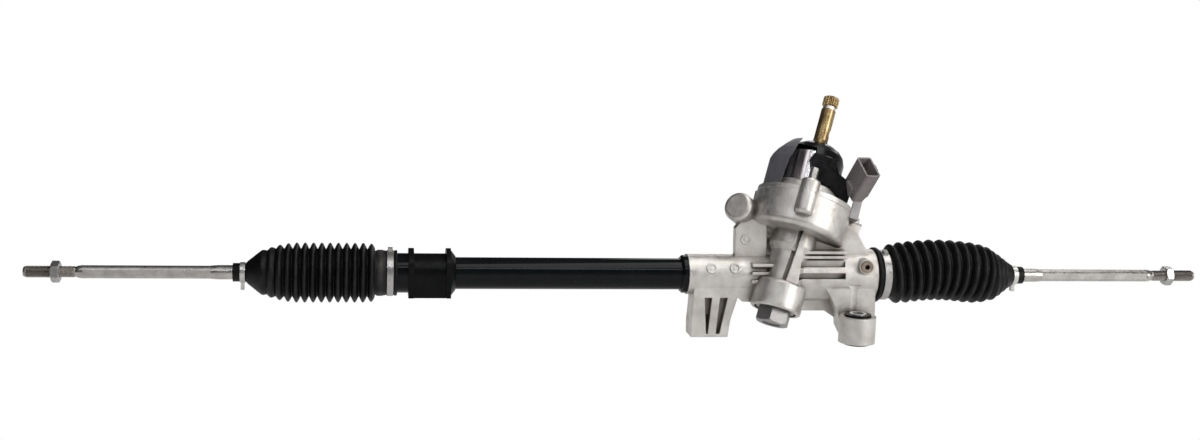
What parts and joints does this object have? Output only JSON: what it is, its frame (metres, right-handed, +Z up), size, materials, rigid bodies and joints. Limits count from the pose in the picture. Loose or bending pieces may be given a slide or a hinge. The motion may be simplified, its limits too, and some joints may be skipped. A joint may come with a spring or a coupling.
{
  "type": "steering rack",
  "caption": "Rack-and-pinion steering gear with a slanted pinion tower, torque sensor, worm-driven assist wheel, ribbed bellows, inner ball joints and threaded tie rods.",
  "frame": {"origin": "centre of the mounting eye's bore, half way up its bush", "axes": "+X along the rack towards the pinion end's tie rod, +Y to the rear, away from the side with the ribbed foot's face, +Z up along the mounting eye"},
  "size_m": [1.2486, 0.1614, 0.2567],
  "materials": {
    "cast_aluminium": "satin as-cast aluminium",
    "black_enamel": "gloss black",
    "zinc_steel": "bright zinc plate",
    "dull_steel": "plain steel",
    "ground_steel": "ground steel",
    "bearing_steel": "polished",
    "bright_steel": "bright drawn sheet",
    "bronze_shaft": "yellow passivated steel",
    "gear_bronze": "machined",
    "boot_rubber": "matt with a grey bloom",
    "bush_rubber": "matt",
    "black_plastic": "moulded, semi-gloss",
    "slate_plastic": "moulded, satin",
    "mauve_plastic": "moulded, satin",
    "white_plastic": "acetal",
    "copper_coil": "lacquered winding"
  },
  "bodies": {
    "housing": {"gear_housing": "cast_aluminium", "housing_plug": "zinc_steel", "eye_bush": "bush_rubber", "eye_sleeve": "zinc_steel", "pinion_plug": "dull_steel", "needle_bearing": "bearing_steel", "main_bearing_outer": "bearing_steel", "main_bearing_balls": "bearing_steel", "upper_bearing_outer": "bearing_steel", "upper_bearing_balls": "bearing_steel", "yoke": "cast_aluminium", "yoke_liner": "black_plastic", "yoke_spring": "ground_steel", "yoke_adjuster": "zinc_steel", "yoke_locknut": "zinc_steel", "worm_front_bearing": "bearing_steel", "worm_rear_bearing": "bearing_steel", "rack_tube": "black_enamel", "tube_collar": "black_enamel", "tube_end_sleeve": "black_enamel", "rack_bush": "black_plastic", "mount_cushion": "bush_rubber", "sensor_housing": "cast_aluminium", "cover_screws": "zinc_steel", "sensor_can": "bright_steel", "sensor_coil": "copper_coil", "sensor_cap": "black_plastic", "shaft_seal": "bush_rubber", "sensor_shell": "slate_plastic", "connector_arm": "black_plastic", "sensor_connector": "mauve_plastic", "connector_pins": "gear_bronze", "connector_bracket": "zinc_steel", "bracket_screw": "zinc_steel", "left_boot": "boot_rubber", "right_boot": "boot_rubber", "left_boot_clamp": "zinc_steel", "right_boot_clamp": "zinc_steel"},
    "rack": {"rack_bar": "ground_steel", "left_socket": "ground_steel", "right_socket": "ground_steel", "left_lock_washer": "dull_steel", "right_lock_washer": "dull_steel"},
    "pinion": {"pinion_shaft": "ground_steel", "torsion_bar": "dull_steel", "main_bearing_inner": "bearing_steel", "upper_bearing_inner": "bearing_steel", "worm_wheel_hub": "cast_aluminium", "worm_wheel_rim": "white_plastic"},
    "input": {"input_shaft": "bronze_shaft", "sensor_core": "dull_steel"},
    "worm": {"worm_shaft": "dull_steel"},
    "left_seat": {"left_ball_seat": "white_plastic"},
    "right_seat": {"right_ball_seat": "white_plastic"},
    "left_rod": {"left_tie_rod": "zinc_steel", "left_jam_nut": "zinc_steel", "left_boot_clip": "zinc_steel"},
    "right_rod": {"right_tie_rod": "zinc_steel", "right_jam_nut": "zinc_steel", "right_boot_clip": "zinc_steel"}
  },
  "joints": [
    {"name": "rack_slide", "type": "slide", "parent": "housing", "child": "rack", "axis": [1, 0, 0], "range_m": [-0.071, 0.071], "deforming": ["left_boot", "right_boot"]},
    {"name": "pinion_spin", "type": "hinge", "parent": "housing", "child": "pinion", "pos_m": [-0.0745, 0.02493, 0.05584], "axis": [0.3007, 0.3105, 0.9018], "range_deg": [-486, 486]},
    {"name": "worm_spin", "type": "hinge", "parent": "housing", "child": "worm", "pos_m": [-0.09536, 0.07306, 0.10167], "axis": [0.6015, 0.672, -0.432], "range_deg": [-9710, 9710]},
    {"name": "input_twist", "type": "hinge", "parent": "pinion", "child": "input", "pos_m": [-0.0745, 0.02493, 0.05584], "axis": [0.3007, 0.3105, 0.9018], "range_deg": [-4.5, 4.5], "stiffness_Nm_per_rad": 20},
    {"name": "left_rod_rise", "type": "hinge", "parent": "rack", "child": "left_seat", "pos_m": [-0.5923, 0.041, 0.0503], "axis": [0, 1, 0], "range_deg": [-20, 20], "deforming": ["left_boot"]},
    {"name": "left_rod_swing", "type": "hinge", "parent": "left_seat", "child": "left_rod", "pos_m": [-0.5923, 0.041, 0.0503], "axis": [0, 0, 1], "range_deg": [-10, 10], "deforming": ["left_boot"]},
    {"name": "right_rod_rise", "type": "hinge", "parent": "rack", "child": "right_seat", "pos_m": [0.1443, 0.041, 0.0503], "axis": [0, 1, 0], "range_deg": [-20, 20], "deforming": ["right_boot"]},
    {"name": "right_rod_swing", "type": "hinge", "parent": "right_seat", "child": "right_rod", "pos_m": [0.1443, 0.041, 0.0503], "axis": [0, 0, 1], "range_deg": [-10, 10], "deforming": ["right_boot"]}
  ],
  "couplings": [
    {"joint": "pinion_spin", "follows": "rack_slide", "rad_per_m": -119.21},
    {"joint": "worm_spin", "follows": "rack_slide", "rad_per_m": -2384.3}
  ]
}
